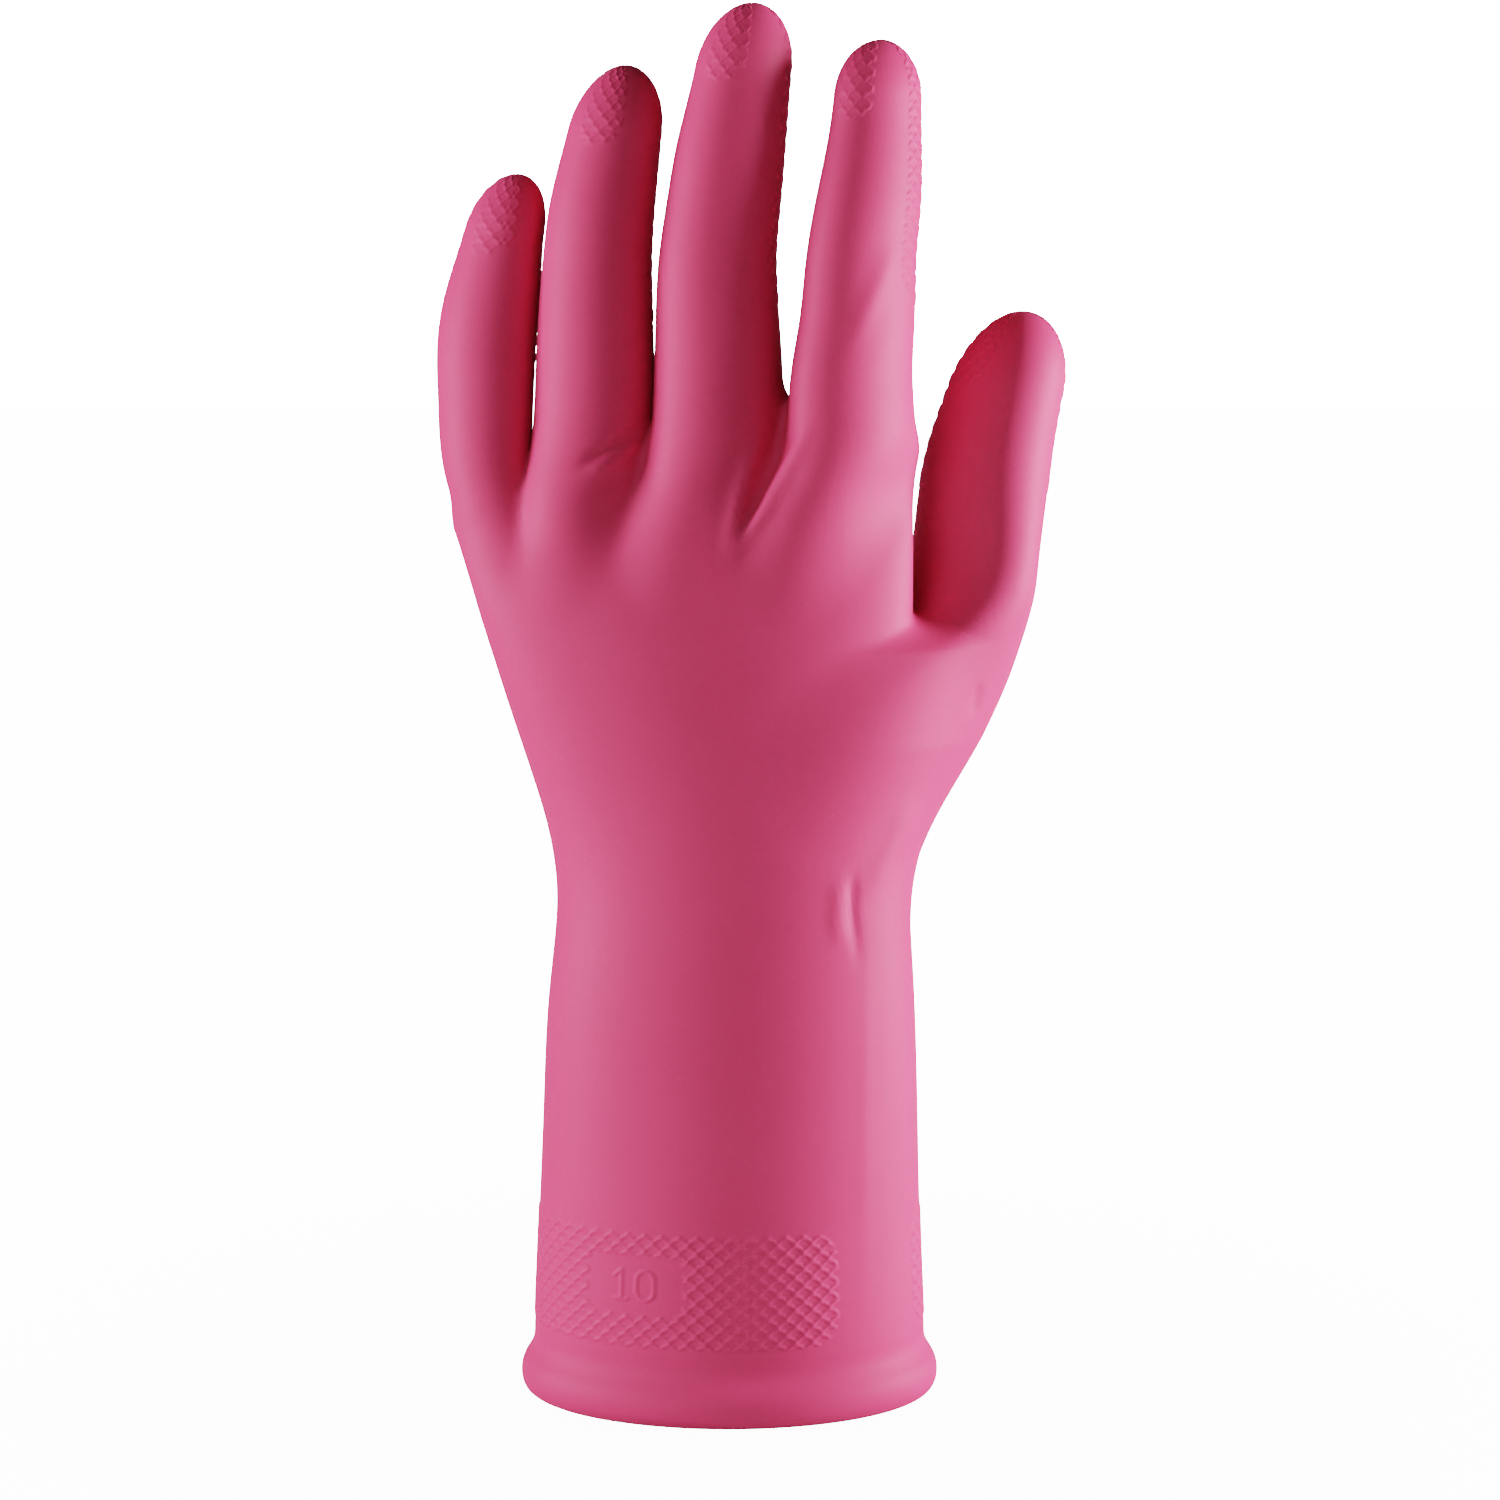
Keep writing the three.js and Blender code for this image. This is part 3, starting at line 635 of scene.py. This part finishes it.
def cuff_grip(grid):
    """Grip on the cuff: a band that stops short of a plain patch on the right of the back,
    with a plain panel that holds the raised size number."""
    ring = grid[len(grid) // 3]
    lengths = np.linalg.norm(np.roll(ring, -1, 0) - ring, axis=1)
    round_it = np.concatenate(([0], np.cumsum(lengths)[:-1]))
    total = lengths.sum()
    front = np.argmin(np.hypot(ring[:, 0], ring[:, 1] + 30))
    s = (round_it - round_it[front] + total / 2) % total - total / 2
    across, up = s[None] + 0 * grid[..., 0], grid[..., 2]
    centre, half = (BAND_FOOT + BAND_HEAD) / 2, (BAND_HEAD - BAND_FOOT) / 2
    width = total - (PLAIN_END - PLAIN_START)
    middle = PLAIN_END + width / 2
    turned = (across - middle + total / 2) % total - total / 2
    band = rounded_box(turned, up, (0, centre), (width / 2, half), 6.5)
    panel = rounded_box(across, up, PANEL_AT, PANEL_HALF, 3.0)
    inside = smooth_step(-np.maximum(band, -panel), -0.2, 0.4)
    return scales(across, up) * inside + NUMBER_HEIGHT * size_number(across, up)


def size_number(across, up):
    """A plain raised 1 and 0: strokes 0.8 mm wide about their centre lines."""
    x, y = across - PANEL_AT[0], up - PANEL_AT[1]
    one = path_distance(x, y, ((-3.0, -3.2), (-3.0, 3.2), (-4.6, 1.8)))[0]
    foot = path_distance(x, y, ((-4.5, -3.2), (-1.5, -3.2)))[0]
    oval = np.abs(rounded_box(x, y, (2.6, 0), (2.0, 3.2), 2.0))
    nearest = np.minimum(np.minimum(one, foot), oval)
    return smooth_step(-nearest, -0.55, -0.2)


# The bead's profile from the wall, over the roll and back up inside: (out from wall, up).
BEAD_COLUMNS = 420
BEAD_PROFILE = ((0.03, 15.2), (0.06, 13.4), (0.3, 11.6), (1.0, 9.9), (2.1, 8.1), (2.9, 6.0),
                (3.05, 4.2), (2.7, 2.2), (1.7, 0.7), (0.2, 0.0), (-1.4, 0.25), (-2.8, 1.4),
                (-3.4, 3.2), (-3.2, 5.0), (-2.6, 7.0), (-2.1, 9.4), (-1.9, 11.0))


def bead_grid(columns):
    """The rolled bead: a profile carried round the cuff's oval. It leaves the wall in a
    hollow fillet, swells into a round roll, turns under, and climbs inside the wall."""
    knots = np.array(BEAD_PROFILE, float)
    along = np.concatenate(([0], np.cumsum(np.hypot(*np.diff(knots, axis=0).T))))
    place = np.linspace(0, along[-1], 64)
    out, up = (np.interp(place, *curve(along, knots[:, k])) for k in (0, 1))
    angle = np.linspace(0, 2 * np.pi, columns, endpoint=False)
    base = HAND.skin(angle, np.full(columns, BEAD_TOP))
    tangent = np.roll(base, -1, 0) - np.roll(base, 1, 0)
    outward = unit(np.stack([tangent[:, 1], -tangent[:, 0], 0 * tangent[:, 0]], -1))
    grid = base[None] + out[:, None, None] * outward[None]
    grid[..., 2] = up[:, None]
    return grid[::-1]


# ---------------------------------------------------------------- finishes

def group(name, inputs, outputs):
    """A shader node group with its own sockets, and its input and output nodes."""
    tree = bpy.data.node_groups.new(name, "ShaderNodeTree")
    for label, kind, value in inputs:
        socket = tree.interface.new_socket(name=label, in_out="INPUT", socket_type=kind)
        socket.default_value = value
    for label, kind in outputs:
        tree.interface.new_socket(name=label, in_out="OUTPUT", socket_type=kind)
    return tree, tree.nodes.new("NodeGroupInput"), tree.nodes.new("NodeGroupOutput")


def noise(tree, place, scale, detail, rough=0.5):
    node = tree.nodes.new("ShaderNodeTexNoise")
    node.inputs["Detail"].default_value = detail
    node.inputs["Roughness"].default_value = rough
    if isinstance(scale, (int, float)):
        node.inputs["Scale"].default_value = scale
    else:
        tree.links.new(scale, node.inputs["Scale"])
    tree.links.new(place, node.inputs["Vector"])
    return node.outputs["Fac"]


def calc(tree, operation, a, b=0.0, clamp=False):
    node = tree.nodes.new("ShaderNodeMath")
    node.operation, node.use_clamp = operation, clamp
    for socket, value in zip(node.inputs, (a, b)):
        if isinstance(value, (int, float)):
            socket.default_value = value
        else:
            tree.links.new(value, socket)
    return node.outputs[0]


def blend_colour(tree, share, a, b):
    node = tree.nodes.new("ShaderNodeMix")
    node.data_type = "RGBA"
    tree.links.new(share, node.inputs["Factor"])
    for key, value in (("A", a), ("B", b)):
        socket = [s for s in node.inputs if s.name == key and s.type == "RGBA"][0]
        if isinstance(value, tuple):
            socket.default_value = value
        else:
            tree.links.new(value, socket)
    return [s for s in node.outputs if s.type == "RGBA"][0]


def grain_group():
    """Fine grain of a moulded skin, as a height: two noises, the finer one fainter."""
    tree, inside, out = group(
        "skin grain",
        (("Place", "NodeSocketVector", (0, 0, 0)), ("Scale", "NodeSocketFloat", 900.0)),
        (("Height", "NodeSocketFloat"), ("Mask", "NodeSocketFloat")))
    place, scale = inside.outputs["Place"], inside.outputs["Scale"]
    broad = noise(tree, place, scale, 3.0, 0.6)
    fine = noise(tree, place, calc(tree, "MULTIPLY", scale, 3.1), 2.0)
    height = calc(tree, "ADD", broad, calc(tree, "MULTIPLY", fine, 0.4))
    tree.links.new(height, out.inputs["Height"])
    tree.links.new(broad, out.inputs["Mask"])
    return tree


def drift_group():
    """Slow drift between two shades of one colour."""
    white = (1, 1, 1, 1)
    tree, inside, out = group(
        "shade drift",
        (("Place", "NodeSocketVector", (0, 0, 0)), ("Scale", "NodeSocketFloat", 18.0),
         ("First", "NodeSocketColor", white), ("Second", "NodeSocketColor", white)),
        (("Color", "NodeSocketColor"),))
    wave = noise(tree, inside.outputs["Place"], inside.outputs["Scale"], 4.0, 0.55)
    share = calc(tree, "MULTIPLY", calc(tree, "SUBTRACT", wave, 0.3), 2.4, clamp=True)
    colour = blend_colour(tree, share, inside.outputs["First"], inside.outputs["Second"])
    tree.links.new(colour, out.inputs["Color"])
    return tree


def dust_group():
    """Small pale flecks, where a fine noise passes a high mark."""
    tree, inside, out = group(
        "powder flecks",
        (("Place", "NodeSocketVector", (0, 0, 0)), ("Scale", "NodeSocketFloat", 420.0),
         ("Mark", "NodeSocketFloat", 0.68)),
        (("Mask", "NodeSocketFloat"),))
    speck = noise(tree, inside.outputs["Place"], inside.outputs["Scale"], 1.0)
    over = calc(tree, "SUBTRACT", speck, inside.outputs["Mark"])
    tree.links.new(calc(tree, "MULTIPLY", over, 9.0, clamp=True), out.inputs["Mask"])
    return tree


def placed(tree, shared, values):
    node = tree.nodes.new("ShaderNodeGroup")
    node.node_tree = shared
    for key, value in values.items():
        if isinstance(value, (int, float, tuple)):
            node.inputs[key].default_value = value
        else:
            tree.links.new(value, node.inputs[key])
    return node


# Scales of the shade's drift and of the powder, the mark and strength of a fleck, the spread
# of the roughness, and the depth of the grain in metres.
DRIFT_SCALE, FLECK_SCALE, FLECK_MARK, FLECK_VEIL = 22.0, 1500.0, 0.71, 0.10
ROUGH_SPREAD, GRAIN_DEPTH = 0.16, 0.0002


def finish(name, first, second, fleck, roughness, settings, grain, bump):
    """One material: drifting shade, powder flecks, grain in roughness and height."""
    material = bpy.data.materials.new(name)
    material.use_nodes = True
    tree = material.node_tree
    shader = tree.nodes["Principled BSDF"]
    place = tree.nodes.new("ShaderNodeTexCoord").outputs["Object"]
    drift = placed(tree, DRIFT, {"Place": place, "Scale": DRIFT_SCALE,
                                 "First": first, "Second": second})
    flecks = placed(tree, DUST, {"Place": place, "Scale": FLECK_SCALE, "Mark": FLECK_MARK})
    veil = calc(tree, "MULTIPLY", flecks.outputs["Mask"], FLECK_VEIL)
    colour = blend_colour(tree, veil, drift.outputs["Color"], fleck)
    tree.links.new(colour, shader.inputs["Base Color"])
    skin = placed(tree, GRAIN, {"Place": place, "Scale": grain})
    worn = calc(tree, "MULTIPLY", skin.outputs["Mask"], ROUGH_SPREAD)
    tree.links.new(calc(tree, "ADD", worn, roughness - ROUGH_SPREAD / 2),
                   shader.inputs["Roughness"])
    height = tree.nodes.new("ShaderNodeBump")
    height.inputs["Strength"].default_value = bump
    height.inputs["Distance"].default_value = GRAIN_DEPTH
    tree.links.new(skin.outputs["Height"], height.inputs["Height"])
    tree.links.new(height.outputs["Normal"], shader.inputs["Normal"])
    for key, value in settings.items():
        shader.inputs[key].default_value = value
    return material


GRAIN, DRIFT, DUST = grain_group(), drift_group(), dust_group()
PINKS = (0.70, 0.077, 0.158, 1), (0.66, 0.069, 0.145, 1), (0.9, 0.3, 0.45, 1)
RUBBER_SHEEN = {"Sheen Weight": 0.03, "Sheen Roughness": 0.45, "Sheen Tint": (1.0, 0.72, 0.9, 1)}
LATEX = finish("pink latex", *PINKS, 0.58,
               {"Specular IOR Level": 0.22, **RUBBER_SHEEN}, 1400.0, 0.10)
BEAD = finish("rolled latex bead", *PINKS, 0.60,
              {"Specular IOR Level": 0.2, **RUBBER_SHEEN}, 1200.0, 0.10)
FLOCK = finish("cotton flock", (0.82, 0.66, 0.70, 1), (0.74, 0.56, 0.61, 1), (0.9, 0.85, 0.85, 1),
               0.92, {"Specular IOR Level": 0.2, "Sheen Weight": 0.5, "Sheen Roughness": 0.6},
               2600.0, 0.9)


# ---------------------------------------------------------------- pieces on the frame

def dress(obj, material, nodes, hold):
    """Finish and slot, the solids a piece stands for hidden, and the body it follows; where two
    bodies are given, the piece only has its place baked in.
    """
    obj.data.materials.append(material)
    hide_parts(*nodes)
    if isinstance(hold, str):
        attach(obj, hold)
    else:
        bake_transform(obj)


def level(low, high):
    return (0, 0, low * MM), (0, 0, high * MM)


# The height about which the fingers' seams lie.
ROOT_LEVEL = 218.0


def seam_ramp(name, top):
    """A ramp square to the slanted seam of a finger, from the seam to below the given top."""
    form = FORM[name]
    cx, cy, w = (v[0] for v in form.at(np.full(1, ROOT_LEVEL))[:3])
    left, right = crown(cx - w) + SEAM_RISE, crown(cx + w) + SEAM_RISE
    highest = max(crown(cx) + SEAM_RISE, (left + right) / 2)
    slope = (right - left) / (2 * w)
    normal = np.array([-slope, 0, 1]) / math.hypot(slope, 1)
    start = np.array([cx, cy, highest])
    rise = (top - SEAM_GAP - abs(slope) * w - highest) / normal[2]
    end = start + normal * rise
    return tuple(start * MM), tuple(end * MM)


def digit_holds(name):
    """For each skin of a digit: its name, its solids, and two bodies with a span from one to the
    other.
    """
    cuts = CUTS[name]
    if name == "thumb":
        tip = JOINT["thumb_tip_bend"][2]
        return [
            ("thumb_root", ("thumb_root_crease", "thumb_lower_shell"),
             ("hand", "thumb_lower", *level(THUMB_SEAM + SEAM_GAP, 190.5))),
            ("thumb_tip", ("thumb_tip_crease", "thumb_tip_shell"),
             ("thumb_lower", "thumb_tip", *level(cuts[0] + 0.6, tip + 12.0)))]
    middle, tip = JOINT[f"{name}_middle_bend"][2], JOINT[f"{name}_tip_bend"][2]
    return [
        (f"{name}_root", (f"{name}_root_crease", f"{name}_lower_shell"),
         ("finger_block", f"{name}_lower", *seam_ramp(name, cuts[0]))),
        (f"{name}_knuckle", (f"{name}_middle_crease", f"{name}_middle_shell"),
         (f"{name}_lower", f"{name}_middle", *level(cuts[0] + SEAM_GAP, cuts[1] - SEAM_GAP))),
        (f"{name}_end", (f"{name}_tip_crease", f"{name}_tip_shell"),
         (f"{name}_middle", f"{name}_tip",
          *level(cuts[1] + SEAM_GAP, tip + 0.35 * (tip - middle))))]


# The solid that each skin's lining stands for, by the last word of the skin's name.
LININGS = {"root": "lower_lining", "knuckle": "middle_lining",
           "end": "tip_lining", "tip": "tip_lining"}


def make_digit(name):
    """Outer skins and linings of one finger or the thumb, cut from one grid each."""
    around = 2 * math.pi * FORM[name].at(np.full(1, CUTS[name][0]))[2][0]
    for lining in (False, True):
        step = LINING_STEP if lining else ROW_STEP
        fine = LINING_STEP if lining else GRIP_STEP
        inset = WALL if lining else 0.0
        columns = int(round(around / fine / 2)) * 2
        grid, pole, angle, z, marks = digit_grid(name, columns, step, fine, inset)
        normals = grid_normals(grid)
        if not lining:
            rise = folds(grid, normals) + grip_on_digit(name, grid, angle, z)
            grid = grid + normals * rise[..., None]
            normals = grid_normals(grid)
        holds = digit_holds(name)
        for k, (label, nodes, hold) in enumerate(holds):
            last = k == len(holds) - 1
            span = slice(marks[k], None if last else marks[k + 1] + 1)
            rows = grid[span]
            points, facing = rows.reshape(-1, 3), normals[span].reshape(-1, 3)
            loops, sizes = tube_faces(len(rows), columns, last)
            if last:
                points = np.concatenate([points, pole])
                facing = np.concatenate([facing, [[0, 0, 1.0]]])
            if lining:
                obj = mesh_piece(f"{label}_flock", points, loops[::-1], sizes[::-1], -facing)
                node = f"{name}_{LININGS[label.rsplit('_', 1)[1]]}"
                dress(obj, FLOCK, (node,), hold)
            else:
                obj = mesh_piece(f"{label}_skin", points, loops, sizes, facing)
                dress(obj, LATEX, nodes, hold)


def make_cuff():
    """The cuff's wall with its grip band, its lining and the rolled bead."""
    grid = cuff_grid(int(CUFF_GIRTH / (GRIP_STEP * 1.1)), BEAD_TOP - 1.5, CUFF_STEP, GRIP_STEP)
    normals = grid_normals(grid)
    rise = folds(grid, normals) + cuff_grip(grid)
    grid = grid + normals * rise[..., None]
    normals = grid_normals(grid)
    loops, sizes = tube_faces(*grid.shape[:2], False)
    wall = mesh_piece("cuff_skin", grid.reshape(-1, 3), loops, sizes, normals.reshape(-1, 3))
    dress(wall, LATEX, ("gauntlet_shell",), "cuff")
    inner = cuff_grid(LINING_COLUMNS, LINING_FOOT, LINING_STEP, LINING_STEP, WALL)
    facing = -grid_normals(inner).reshape(-1, 3)
    loops, sizes = tube_faces(*inner.shape[:2], False)
    lining = mesh_piece("cuff_flock", inner.reshape(-1, 3), loops[::-1], sizes, facing)
    dress(lining, FLOCK, ("gauntlet_lining",), "cuff")
    roll = bead_grid(BEAD_COLUMNS)
    loops, sizes = tube_faces(*roll.shape[:2], False)
    bead = mesh_piece("cuff_bead_roll", roll.reshape(-1, 3), loops, sizes,
                      grid_normals(roll).reshape(-1, 3))
    dress(bead, BEAD, ("cuff_bead",), "cuff")


def refined(points, faces, normals, keep):
    """Each kept quad cut into four at the means of its sides and of its corners."""
    quads, count = faces[keep], len(points)
    ahead = np.roll(quads, -1, 1)
    key = np.minimum(quads, ahead) * count + np.maximum(quads, ahead)
    sides, place = np.unique(key, return_inverse=True)
    middle = count + place.reshape(-1, 4)
    centre = count + len(sides) + np.arange(len(quads))
    ends = np.stack([sides // count, sides % count], -1)
    values = []
    for value in (points, normals):
        values.append(np.concatenate([value, value[ends].mean(1), value[quads].mean(1)]))
    fine = [np.stack([quads[:, k], middle[:, k], centre, middle[:, k - 1]], -1) for k in range(4)]
    return values[0], np.concatenate([faces[~keep]] + fine), unit(values[1])


def palm_grip(points, normals):
    """Grip over the palm side, between the wrist and the fingers' roots."""
    height = points[:, 2]
    low, high = GRIP_ON_PALM
    share = smooth_step(height, low, low + 2) * smooth_step(-height, -high, 2 - high)
    share = share * smooth_step(normals[:, 1], 0.45, 0.6)
    return scales(points[:, 0], height) * share


def make_palm():
    """The palm's two skins, parted level below the knuckle bend, and their linings."""
    wrist = level(CUFF_TOP + 2, 2 * JOINT["wrist_bend"][2] - CUFF_TOP - 2)
    holds = {"palm": ("cuff", "hand", *wrist),
             "knuckles": ("hand", "finger_block", *level(PALM_SEAM + 1, 204.0))}
    points, faces, normals = palm_net(SKIN_STEP)
    height = points[faces][..., 2].mean(1)
    keep = normals[faces][..., 1].mean(1) > 0.35
    keep &= (height > GRIP_ON_PALM[0] - 3) & (height < GRIP_ON_PALM[1] + 3)
    points, faces, normals = refined(points, faces, normals, keep)
    rise = folds(points, normals) + palm_grip(points, normals)
    points = points + normals * rise[:, None]
    normals = blended_normals(points, faces, normals)
    below = points[faces][..., 2].mean(1) < PALM_SEAM
    for label, keep, nodes in (("palm", below, ("wrist_crease", "palm_shell")),
                               ("knuckles", ~below, ("knuckle_crease", "web_shell"))):
        obj = mesh_piece(f"{label}_skin", *part_of(points, faces, keep, normals))
        dress(obj, LATEX, nodes, holds[label])
    points, faces, normals = palm_net(PALM_LINING_STEP, WALL)
    faces = faces[:, ::-1]
    below = points[faces][..., 2].mean(1) < PALM_SEAM
    for label, keep, node in (("palm", below, "palm_lining"), ("knuckles", ~below, "web_lining")):
        obj = mesh_piece(f"{label}_flock", *part_of(points, faces, keep, -normals))
        dress(obj, FLOCK, (node,), holds[label])


def blended_normals(points, faces, before):
    """Fresh normals inside the net; on its rim, the normals from before it was trimmed."""
    fresh = vertex_normals(points, faces)
    rim = edge_points(faces, len(points))
    fresh[rim] = before[rim]
    return fresh


make_cuff()
make_palm()
for digit in FINGER_LEVELS:
    make_digit(digit)


# ---------------------------------------------------------------- studio

FLOOR_REACH = 6.0
FLOOR_GLOW, ROOM_GLOW, ROOM_LIGHT = 10.0, 20.0, 0.03
SIDE_COLOUR = (1, 0.78, 0.94)
EXPOSURE = 0.34

# The camera: its place in metres, its tilt down in degrees, its lens and sensor in mm.
CAMERA_AT, CAMERA_TILT = (0, -0.75, 0.245), 7.70
LENS, SENSOR = 83.14, 36.0


def floor_paper():
    """White paper that glows a little for the camera alone, and fully far from the glove."""
    material = bpy.data.materials.new("pale floor paper")
    material.use_nodes = True
    tree = material.node_tree
    shader = tree.nodes["Principled BSDF"]
    shader.inputs["Base Color"].default_value = (0.6, 0.6, 0.6, 1)
    shader.inputs["Roughness"].default_value = 0.9
    shader.inputs["Specular IOR Level"].default_value = 0.1
    shader.inputs["Emission Color"].default_value = (1, 1, 1, 1)
    place = tree.nodes.new("ShaderNodeTexCoord").outputs["Object"]
    length = tree.nodes.new("ShaderNodeVectorMath")
    length.operation = "LENGTH"
    tree.links.new(place, length.inputs[0])
    far = calc(tree, "MULTIPLY", length.outputs["Value"], 1.1)
    glow = calc(tree, "MINIMUM", calc(tree, "ADD", far, 0.62), 1.0)
    glow = calc(tree, "MULTIPLY", glow, FLOOR_GLOW)
    seen = tree.nodes.new("ShaderNodeLightPath").outputs["Is Camera Ray"]
    tree.links.new(calc(tree, "MULTIPLY", glow, seen), shader.inputs["Emission Strength"])
    return material


def softbox(name, place, aim, width, height, power, colour=(1, 1, 1)):
    """An area light at this place, turned to face the aim."""
    light = bpy.data.lights.new(name, "AREA")
    light.shape, light.size, light.size_y = "RECTANGLE", width, height
    light.energy, light.color = power, colour
    obj = bpy.data.objects.new(name, light)
    bpy.context.scene.collection.objects.link(obj)
    obj.location = place
    toward = np.array(aim) - np.array(place)
    flat = math.hypot(toward[0], toward[1])
    obj.rotation_euler = (math.atan2(flat, -toward[2]), 0,
                          math.atan2(toward[1], toward[0]) - math.pi / 2)


def studio():
    """A pale floor, a white room, two side softboxes and a weak one in front on the left."""
    mesh = bpy.data.meshes.new("floor")
    r = FLOOR_REACH
    mesh.from_pydata([(-r, -r, 0), (r, -r, 0), (r, r, 0), (-r, r, 0)], [], [(0, 1, 2, 3)])
    mesh.materials.append(floor_paper())
    floor = bpy.data.objects.new("floor", mesh)
    bpy.context.scene.collection.objects.link(floor)
    softbox("left softbox", (-0.94, -0.15, 0.20), (0, 0, 0.15), 0.4, 0.8, 14.0, SIDE_COLOUR)
    softbox("right softbox", (0.94, 0.03, 0.15), (0, 0, 0.14), 0.3, 0.8, 27.5, SIDE_COLOUR)
    softbox("front fill", (-0.85, -1.4, 0.5), (0, 0, 0.15), 0.9, 0.7, 3.8)
    world = bpy.data.worlds.new("white room")
    bpy.context.scene.world = world
    world.use_nodes = True
    tree = world.node_tree
    back = tree.nodes["Background"]
    seen = tree.nodes.new("ShaderNodeBackground")
    seen.inputs["Color"].default_value = (1, 1, 1, 1)
    seen.inputs["Strength"].default_value = ROOM_GLOW
    back.inputs["Color"].default_value = (1, 1, 1, 1)
    back.inputs["Strength"].default_value = ROOM_LIGHT
    path, mix = tree.nodes.new("ShaderNodeLightPath"), tree.nodes.new("ShaderNodeMixShader")
    tree.links.new(path.outputs["Is Camera Ray"], mix.inputs["Fac"])
    tree.links.new(back.outputs[0], mix.inputs[1])
    tree.links.new(seen.outputs[0], mix.inputs[2])
    tree.links.new(mix.outputs[0], tree.nodes["World Output"].inputs["Surface"])
    view = bpy.context.scene.view_settings
    view.view_transform, view.look = "Filmic", "Medium High Contrast"
    view.exposure = EXPOSURE


def camera():
    """A long lens in front of the glove's back, looking slightly down."""
    data = bpy.data.cameras.new("camera")
    data.sensor_width, data.lens = SENSOR, LENS
    obj = bpy.data.objects.new("camera", data)
    bpy.context.scene.collection.objects.link(obj)
    obj.location = CAMERA_AT
    obj.rotation_euler = (math.radians(90 - CAMERA_TILT), 0, 0)
    bpy.context.scene.camera = obj


studio()
camera()
